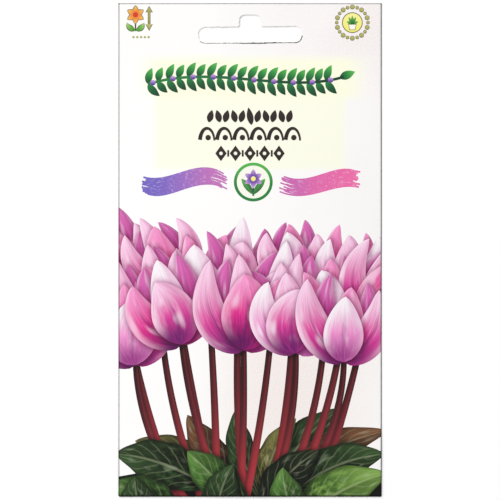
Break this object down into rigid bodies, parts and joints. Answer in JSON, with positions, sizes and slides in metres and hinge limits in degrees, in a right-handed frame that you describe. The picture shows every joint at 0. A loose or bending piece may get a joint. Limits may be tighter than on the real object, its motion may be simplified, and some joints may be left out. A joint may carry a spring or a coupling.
{
  "type": "seed packet",
  "caption": "Flat sealed paper seed packet with a printed front, a punched hang slot and an inner foil sachet of loose seeds.",
  "frame": {"origin": "bottom centre of the packet's box, on the surface that its back lies on", "axes": "+X to the right of the printed front, +Y up the packet towards the hang slot, +Z out of the printed front"},
  "size_m": [0.08, 0.15, 0.0028],
  "materials": {
    "printed_paper": "satin",
    "glue": "satin",
    "foil": "satin",
    "seed": "matte"
  },
  "bodies": {
    "root": {"paper_envelope": "printed_paper", "back_seam_glue": "glue", "back_seam_glue_above_slot": "glue", "bottom_flap_glue": "glue", "header_glue": "glue", "sachet_back_foil": "foil", "sachet_front_foil": "foil", "seed_1": "seed", "seed_2": "seed", "seed_3": "seed", "seed_4": "seed", "seed_5": "seed"}
  },
  "joints": []
}
